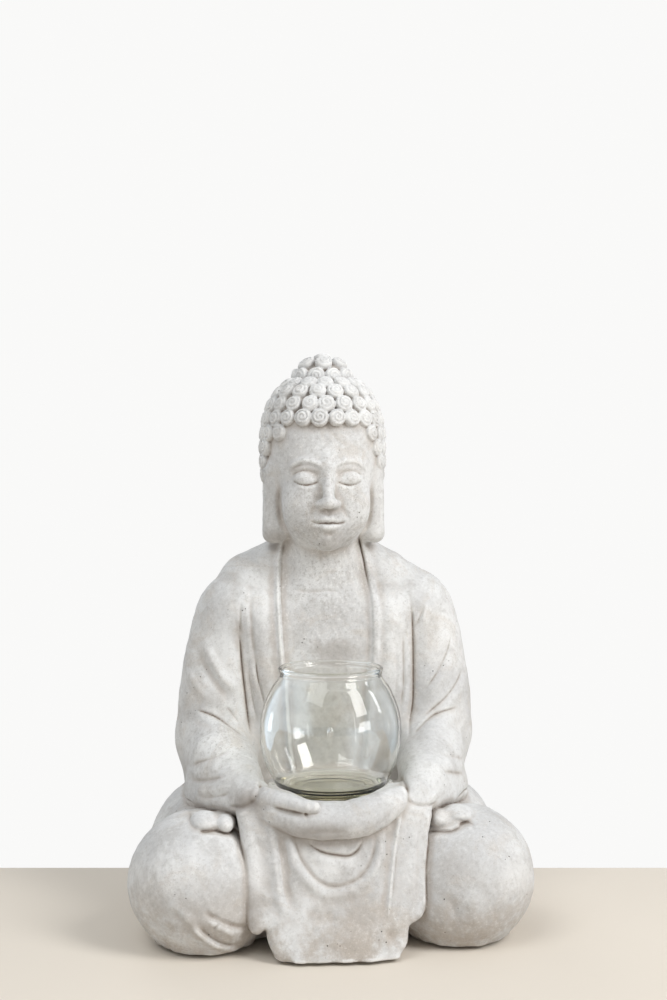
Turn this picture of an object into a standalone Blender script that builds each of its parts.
"""A seated meditation figure, hollow-cast in fibre cement, that holds a loose glass bowl in its hands.

The casting is one piece, as laid up in its mould: overlapping body masses are fused by a voxel remesh,
then cored out from below. The bowl stands on a felt disc in the palms, between two silicone bumpers, and
felt pads under the casting keep the cement off a shelf. Metres, +Z up. The figure faces -Y, and the origin
is on the floor at the centre of the figure's footprint.
"""

import math

import bmesh
import bpy
from mathutils import Matrix, Vector

# Driving dimensions
WALL = 0.012
GAP = 0.0003
PAD_THICKNESS = 0.003
PAD_RADIUS = 0.012
BOWL_FOOT = Vector((-0.0015, -0.054, 0.125))
BOWL_HEIGHT = 0.106
BOWL_BASE_RADIUS = 0.0425
BOWL_WIDEST_RADIUS = 0.061
BOWL_WIDEST_HEIGHT = 0.049
BOWL_NECK_RADIUS = 0.0437
BOWL_NECK_HEIGHT = 0.100
BOWL_LIP_RADIUS = 0.0452
GLASS_WALL = 0.0025
GLASS_FLOOR = 0.006
BOWL_LIFT = 0.090
BOWL_CLEARANCE = 0.0012
DISC_THICKNESS = 0.0015
DISC_RADIUS = 0.0405
BUMPER_RADIUS = 0.003
BUMPER_DROP = math.radians(34)
HOLLOW_MOUTH = (0.070, 0.052)
HOLLOW_MOUTH_CENTRE = (0.0, 0.018)

# Mesh fineness
FIGURE_VOXEL = 0.0028
CORE_VOXEL = 0.008
FIGURE_DETAIL = 0.040
CORE_DETAIL = 0.12
BOWL_STEPS = 40
BOWL_ARC_STEPS = 5

# Body masses, as name: (centre, half sizes). Those at +X are mirrored to -X.
CENTRE_MASSES = {
    "hips": ((0, 0.058, 0.062), (0.136, 0.069, 0.078)),
    "back": ((0, 0.063, 0.180), (0.108, 0.054, 0.142)),
    "chest": ((0, 0.062, 0.236), (0.104, 0.050, 0.080)),
    "lap": ((0, -0.021, 0.046), (0.108, 0.087, 0.059)),
    "palms": ((0, -0.056, 0.110), (0.064, 0.048, 0.016)),
    "skull": ((0, 0.049, 0.425), (0.0520, 0.055, 0.056)),
    "face": ((0, 0.033, 0.386), (0.0440, 0.047, 0.058)),
    "mouth": ((0, 0.007, 0.355), (0.0260, 0.020, 0.022)),
    "chin": ((0, 0.006, 0.340), (0.0180, 0.016, 0.013)),
    "upper_lip": ((0, -0.0105, 0.3560), (0.0130, 0.006, 0.0030)),
    "lower_lip": ((0, -0.0100, 0.3490), (0.0105, 0.006, 0.0032)),
    "topknot": ((0, 0.051, 0.4835), (0.0215, 0.0215, 0.0215)),
}
SIDE_MASSES = {
    "knee": ((0.116, -0.057, 0.052), (0.0590, 0.062, 0.058)),
    "knee_base": ((0.106, -0.056, 0.033), (0.053, 0.060, 0.044)),
    "hip_side": ((0.094, 0.032, 0.056), (0.066, 0.076, 0.066)),
    "big_toe": ((0.109, -0.069, 0.1035), (0.0125, 0.0175, 0.0080)),
    "toes": ((0.0910, -0.074, 0.1025), (0.0080, 0.0135, 0.0072)),
    "cheek": ((0.0200, 0.004, 0.368), (0.0200, 0.017, 0.024)),
    "eyelid": ((0.0185, -0.008, 0.3925), (0.0110, 0.006, 0.0055)),
    "nostril": ((0.0055, -0.015, 0.3700), (0.0055, 0.007, 0.0050)),
}

# Limbs, as name: a run of (point, radius). Those at +X are mirrored to -X.
CENTRE_LIMBS = {
    "neck": [((0, 0.058, 0.288), 0.043), ((0, 0.051, 0.350), 0.038)],
    "shoulders": [((-0.078, 0.062, 0.263), 0.038), ((0.080, 0.062, 0.264), 0.038)],
    "right_arm": [
        ((0.083, 0.058, 0.266), 0.042),
        ((0.091, 0.057, 0.243), 0.0405),
        ((0.100, 0.046, 0.160), 0.0395),
    ],
    "left_arm": [
        ((-0.074, 0.058, 0.266), 0.041),
        ((-0.084, 0.057, 0.243), 0.040),
        ((-0.095, 0.046, 0.160), 0.0395),
    ],
    "cupped_hands": [
        ((-0.064, -0.074, 0.1230), 0.0130),
        ((-0.048, -0.090, 0.1215), 0.0145),
        ((-0.031, -0.100, 0.1165), 0.0158),
        ((0.007, -0.1075, 0.1125), 0.0150),
        ((0.020, -0.105, 0.1165), 0.0160),
        ((0.035, -0.098, 0.1230), 0.0162),
        ((0.0515, -0.085, 0.1305), 0.0114),
    ],
    "thumb": [
        ((-0.068, -0.072, 0.133), 0.0150),
        ((-0.044, -0.094, 0.129), 0.0115),
        ((-0.019, -0.1075, 0.121), 0.0074),
    ],
    "nose": [((0, -0.0090, 0.404), 0.0050), ((0, -0.0210, 0.3735), 0.0062)],
}
SIDE_LIMBS = {
    "nape": [((0.030, 0.060, 0.318), 0.024), ((0.060, 0.060, 0.293), 0.031)],
    "flank": [((0.076, 0.062, 0.085), 0.052), ((0.062, 0.062, 0.255), 0.046)],
    "forearm": [
        ((0.098, 0.042, 0.153), 0.037),
        ((0.093, 0.000, 0.141), 0.0305),
        ((0.066, -0.070, 0.129), 0.0170),
    ],
    "sleeve": [
        ((0.096, 0.040, 0.118), 0.030),
        ((0.104, 0.000, 0.116), 0.024),
        ((0.070, -0.068, 0.121), 0.014),
    ],
    "thigh": [((0.070, 0.040, 0.056), 0.050), ((0.114, -0.042, 0.052), 0.049)],
    "shin": [((0.110, -0.064, 0.038), 0.042), ((0.030, -0.076, 0.034), 0.036)],
    "collar": [
        ((0.037, 0.034, 0.328), 0.010),
        ((0.041, 0.012, 0.270), 0.008),
        ((0.041, 0.008, 0.200), 0.008),
    ],
    "ear": [((0.050, 0.048, 0.412), 0.009), ((0.049, 0.043, 0.344), 0.010)],
    "brow": [
        ((0.0070, -0.0095, 0.4035), 0.0042),
        ((0.0210, -0.0060, 0.4065), 0.0042),
        ((0.0330, 0.0060, 0.4020), 0.0042),
    ],
    "apron_fold": [((0.018, -0.078, 0.100), 0.023), ((0.018, -0.106, 0.016), 0.024)],
    "apron_edge": [((0.057, -0.072, 0.100), 0.022), ((0.050, -0.098, 0.016), 0.023)],
}
WHOLE_BODY = (*CENTRE_MASSES, *SIDE_MASSES, *CENTRE_LIMBS, *SIDE_LIMBS)
CORED_CENTRE = (
    "hips",
    "back",
    "chest",
    "lap",
    "skull",
    "neck",
    "shoulders",
    "right_arm",
    "left_arm",
)
CORED_SIDES = ("knee", "hip_side", "flank", "shin")

# Snail curls, in rings from the hairline up
CURL_RADIUS = 0.0078
CURL_RINGS = 8
LOWEST_RING = math.radians(-27)
RING_STEP = math.radians(13)
HAIRLINE = math.radians(20)
FACE_HALF_ANGLE = math.radians(62)

PADS = {
    "foot_pad_front_left": (-0.104, -0.066),
    "foot_pad_front_right": (0.104, -0.066),
    "foot_pad_back_left": (-0.078, 0.058),
    "foot_pad_back_right": (0.078, 0.058),
}


def clear_scene():
    for old in list(bpy.data.objects):
        bpy.data.objects.remove(old, do_unlink=True)


def collection(name):
    made = bpy.data.collections.new(name)
    bpy.context.scene.collection.children.link(made)
    return made


def material(name, colour, roughness, transmission=0.0):
    made = bpy.data.materials.new(name)
    made.use_nodes = True
    made.diffuse_color = (*colour, 1.0)
    shader = made.node_tree.nodes["Principled BSDF"]
    shader.inputs["Base Color"].default_value = (*colour, 1.0)
    shader.inputs["Roughness"].default_value = roughness
    shader.inputs["Metallic"].default_value = 0.0
    shader.inputs["Transmission Weight"].default_value = transmission
    return made


def object_from(bm, name, group, surface=None):
    mesh = bpy.data.meshes.new(name)
    bm.to_mesh(mesh)
    bm.free()
    if surface:
        mesh.materials.append(surface)
    mesh.shade_smooth()
    made = bpy.data.objects.new(name, mesh)
    group.objects.link(made)
    return made


def as_cutter(made):
    made.hide_render = True
    made.display_type = "WIRE"
    return made


def modifier(target, kind, **settings):
    made = target.modifiers.new(kind.title(), kind)
    for key, value in settings.items():
        setattr(made, key, value)
    return made


def fuse(target, voxel, smoothing, detail):
    """Turns overlapping shells into one skin, softens it and thins its mesh."""
    modifier(target, "REMESH", mode="VOXEL", voxel_size=voxel, adaptivity=0.0)
    modifier(target, "SMOOTH", factor=0.5, iterations=smoothing)
    modifier(target, "DECIMATE", ratio=detail)


def cut(target, cutter):
    modifier(target, "BOOLEAN", operation="DIFFERENCE", object=cutter)


def mirrored(point):
    return Vector((-point[0], point[1], point[2]))


def add_ellipsoid(bm, centre, half_sizes, segments=24):
    place = Matrix.Translation(centre) @ Matrix.Diagonal((*half_sizes, 1))
    bmesh.ops.create_uvsphere(bm, u_segments=segments, v_segments=segments // 2, radius=1, matrix=place)


def add_limb(bm, run):
    """Balls at the points of the run, joined by tapered cones."""
    for point, radius in run:
        add_ellipsoid(bm, point, (radius,) * 3, 16)
    for (start, start_radius), (end, end_radius) in zip(run, run[1:]):
        along = Vector(end) - Vector(start)
        turn = along.to_track_quat("Z", "Y").to_matrix().to_4x4()
        bmesh.ops.create_cone(
            bm,
            cap_ends=True,
            segments=16,
            radius1=start_radius,
            radius2=end_radius,
            depth=along.length,
            matrix=Matrix.Translation((Vector(start) + Vector(end)) / 2) @ turn,
        )


def add_body(bm, names, shrink=0.0):
    """The named masses and limbs of the body, made smaller all round by shrink."""
    for name, (centre, half_sizes) in (CENTRE_MASSES | SIDE_MASSES).items():
        if name in names:
            smaller = [size - shrink for size in half_sizes]
            add_ellipsoid(bm, centre, smaller)
            if name in SIDE_MASSES:
                add_ellipsoid(bm, mirrored(centre), smaller)
    for name, run in (CENTRE_LIMBS | SIDE_LIMBS).items():
        if name in names:
            smaller = [(point, radius - shrink) for point, radius in run]
            add_limb(bm, smaller)
            if name in SIDE_LIMBS:
                add_limb(bm, [(mirrored(point), radius) for point, radius in smaller])


def add_curl_ring(bm, mass, lift, shift, hairline):
    """Curls side by side round a head mass, at this angle above its middle, leaving the face bare."""
    centre, half = (Vector(v) for v in CENTRE_MASSES[mass])
    count = max(5, round(math.pi * math.cos(lift) * half.x / CURL_RADIUS))
    for k in range(count):
        turn = 2 * math.pi * (k + shift) / count
        from_front = abs(math.remainder(turn, 2 * math.pi))
        if lift < hairline and from_front < FACE_HALF_ANGLE:
            continue
        level = math.cos(lift)
        across, ahead = half.x * math.sin(turn) * level, half.y * math.cos(turn) * level
        out = Vector((across, -ahead, half.z * math.sin(lift)))
        add_ellipsoid(bm, centre + out, (CURL_RADIUS,) * 3, 10)


def add_hair(bm):
    for ring in range(CURL_RINGS):
        add_curl_ring(bm, "skull", LOWEST_RING + RING_STEP * ring, 0.5 * (ring % 2), HAIRLINE)
    for ring in range(3):
        add_curl_ring(bm, "topknot", RING_STEP * (1 + 2 * ring), 0.5 * (ring % 2), 0.0)
    top_centre, top_half = CENTRE_MASSES["topknot"]
    add_ellipsoid(bm, (top_centre[0], top_centre[1], top_centre[2] + top_half[2] - 0.004), (0.008,) * 3, 10)


def build_core(group):
    """The hollow inside the casting, which stops a wall's thickness above the casting's underside."""
    bm = bmesh.new()
    add_body(bm, CORED_CENTRE + CORED_SIDES, WALL)
    core = as_cutter(object_from(bm, "core", group))
    fuse(core, CORE_VOXEL, 4, CORE_DETAIL)
    cut(core, build_box_cutter("core_floor", PAD_THICKNESS + WALL, group))
    return core


def build_box_cutter(name, top, group):
    """A box wider than the figure, from well below the floor up to this height."""
    depth = 0.2
    bm = bmesh.new()
    place = Matrix.Translation((0, 0, top - depth / 2)) @ Matrix.Diagonal((1, 1, depth, 1))
    bmesh.ops.create_cube(bm, size=1, matrix=place)
    return as_cutter(object_from(bm, name, group))


def build_hollow_mouth(group):
    """The oval hand hole through the underside into the hollow."""
    depth = 4 * WALL
    bm = bmesh.new()
    bmesh.ops.create_cone(bm, cap_ends=True, segments=40, radius1=1, radius2=1, depth=1)
    mouth = as_cutter(object_from(bm, "hollow_mouth", group))
    mouth.data.transform(Matrix.Diagonal((*HOLLOW_MOUTH, depth, 1)))
    mouth.location = (*HOLLOW_MOUTH_CENTRE, PAD_THICKNESS)
    return mouth


def arc_inwards(reach, height):
    """Radius of the arc that leaves the widest ring upright and comes in by reach over this height."""
    return (height**2 + reach**2) / (2 * reach)


def bowl_radius(z):
    """The bowl's outer radius at a height above its base."""
    up = z - BOWL_WIDEST_HEIGHT
    if up < 0:
        arc = arc_inwards(BOWL_WIDEST_RADIUS - BOWL_BASE_RADIUS, BOWL_WIDEST_HEIGHT)
    else:
        arc = arc_inwards(BOWL_WIDEST_RADIUS - BOWL_NECK_RADIUS, BOWL_NECK_HEIGHT - BOWL_WIDEST_HEIGHT)
    return BOWL_WIDEST_RADIUS - arc + math.sqrt(arc**2 - up**2)


def heights(low, high, steps):
    return [low + (high - low) * k / steps for k in range(steps + 1)]


def turned(name, outline, group, surface=None):
    """Spins an outline of (radius, height) about the bowl's axis, with heights from the bowl's base."""
    bm = bmesh.new()
    points = [bm.verts.new((radius, 0, z)) for radius, z in outline]
    for a, b in zip(points, points[1:]):
        bm.edges.new((a, b))
    made = object_from(bm, name, group, surface)
    made.location = BOWL_FOOT
    modifier(
        made,
        "SCREW",
        angle=2 * math.pi,
        steps=BOWL_STEPS,
        render_steps=BOWL_STEPS,
        use_merge_vertices=True,
        merge_threshold=1e-5,
        use_smooth_shade=True,
    )
    return made


def build_bowl(group, glass):
    """Up the inside from the floor, over the flared lip, and down the outside to the base."""
    levels = heights(BOWL_WIDEST_HEIGHT, BOWL_NECK_HEIGHT, BOWL_ARC_STEPS)[::-1]
    levels += heights(0, BOWL_WIDEST_HEIGHT, BOWL_ARC_STEPS)[::-1][1:]
    outside = [(bowl_radius(z), z) for z in levels]
    inside = [(bowl_radius(z) - GLASS_WALL, z) for z in levels[::-1] if z > GLASS_FLOOR]
    floor_edge = bowl_radius(GLASS_FLOOR) - GLASS_WALL
    lip = [
        (BOWL_LIP_RADIUS - GLASS_WALL, BOWL_HEIGHT),
        (BOWL_LIP_RADIUS - GLASS_WALL / 2, BOWL_HEIGHT + GLASS_WALL / 3),
        (BOWL_LIP_RADIUS, BOWL_HEIGHT),
    ]
    inner = [(0, GLASS_FLOOR), (floor_edge, GLASS_FLOOR), *inside]
    return turned("glass_bowl", [*inner, *lip, *outside, (0, 0)], group, glass)


def build_felt_disc(group, felt):
    top = -GAP
    bottom = top - DISC_THICKNESS
    outline = [(0, top), (DISC_RADIUS, top), (DISC_RADIUS, bottom), (0, bottom)]
    return turned("bowl_felt_disc", outline, group, felt)


def build_bowl_room(group):
    """Clears the palms and the belly for the bowl, its disc, and the bowl's path as it lifts."""
    lower = heights(0, BOWL_WIDEST_HEIGHT, BOWL_ARC_STEPS)[::-1]
    wall = [(bowl_radius(z) + BOWL_CLEARANCE, z) for z in lower]
    top = BOWL_WIDEST_HEIGHT + BOWL_LIFT + BOWL_CLEARANCE
    bottom = -DISC_THICKNESS - 2 * GAP
    outline = [(0, top), (wall[0][0], top), *wall, (wall[-1][0], bottom), (0, bottom)]
    return as_cutter(turned("bowl_room", outline, group))


def bumper_centre(side):
    """Beside the bowl's lower wall, this angle down its arc from the widest ring."""
    arc = arc_inwards(BOWL_WIDEST_RADIUS - BOWL_BASE_RADIUS, BOWL_WIDEST_HEIGHT)
    reach = arc + BUMPER_RADIUS + 2 * GAP
    out = BOWL_WIDEST_RADIUS - arc + reach * math.cos(BUMPER_DROP)
    return BOWL_FOOT + Vector((side * out, 0, BOWL_WIDEST_HEIGHT - reach * math.sin(BUMPER_DROP)))


def build_ball(name, centre, radius, group, surface=None):
    bm = bmesh.new()
    bmesh.ops.create_uvsphere(bm, u_segments=12, v_segments=8, radius=radius)
    made = object_from(bm, name, group, surface)
    made.location = centre
    return made


def build_bumpers(group, cutters, casting, silicone):
    """Clear dots on the heels of the hands, each in its own socket, that keep the glass off the cement."""
    for name, side in (("bumper_left", -1), ("bumper_right", 1)):
        centre = bumper_centre(side)
        build_ball(name, centre, BUMPER_RADIUS, group, silicone)
        cut(casting, as_cutter(build_ball(f"{name}_socket", centre, BUMPER_RADIUS + GAP, cutters)))


def build_pads(group, felt):
    for name, (x, y) in PADS.items():
        bm = bmesh.new()
        thickness = PAD_THICKNESS - GAP
        bmesh.ops.create_cone(
            bm, cap_ends=True, segments=24, radius1=PAD_RADIUS, radius2=PAD_RADIUS, depth=thickness
        )
        pad = object_from(bm, name, group, felt)
        pad.data.set_sharp_from_angle(angle=math.radians(40))
        pad.location = (x, y, thickness / 2)


def build_casting(group, cutters, cement):
    bm = bmesh.new()
    add_body(bm, WHOLE_BODY)
    add_hair(bm)
    casting = object_from(bm, "cast_figure", group, cement)
    fuse(casting, FIGURE_VOXEL, 3, FIGURE_DETAIL)
    cut(casting, build_core(cutters))
    cut(casting, build_hollow_mouth(cutters))
    cut(casting, build_box_cutter("floor", PAD_THICKNESS, cutters))
    cut(casting, build_bowl_room(cutters))
    return casting


def main():
    clear_scene()
    parts = collection("seated_figure_with_bowl")
    cutters = collection("cutters")
    cement = material("fibre_cement", (0.62, 0.61, 0.58), 0.9)
    glass = material("clear_glass", (0.93, 0.96, 0.94), 0.03, 1.0)
    dark_felt = material("dark_felt", (0.03, 0.03, 0.035), 1.0)
    olive_felt = material("olive_felt", (0.30, 0.31, 0.22), 1.0)
    silicone = material("clear_silicone", (0.85, 0.86, 0.84), 0.25, 0.8)
    casting = build_casting(parts, cutters, cement)
    build_bowl(parts, glass)
    build_felt_disc(parts, olive_felt)
    build_bumpers(parts, cutters, casting, silicone)
    build_pads(parts, dark_felt)


main()
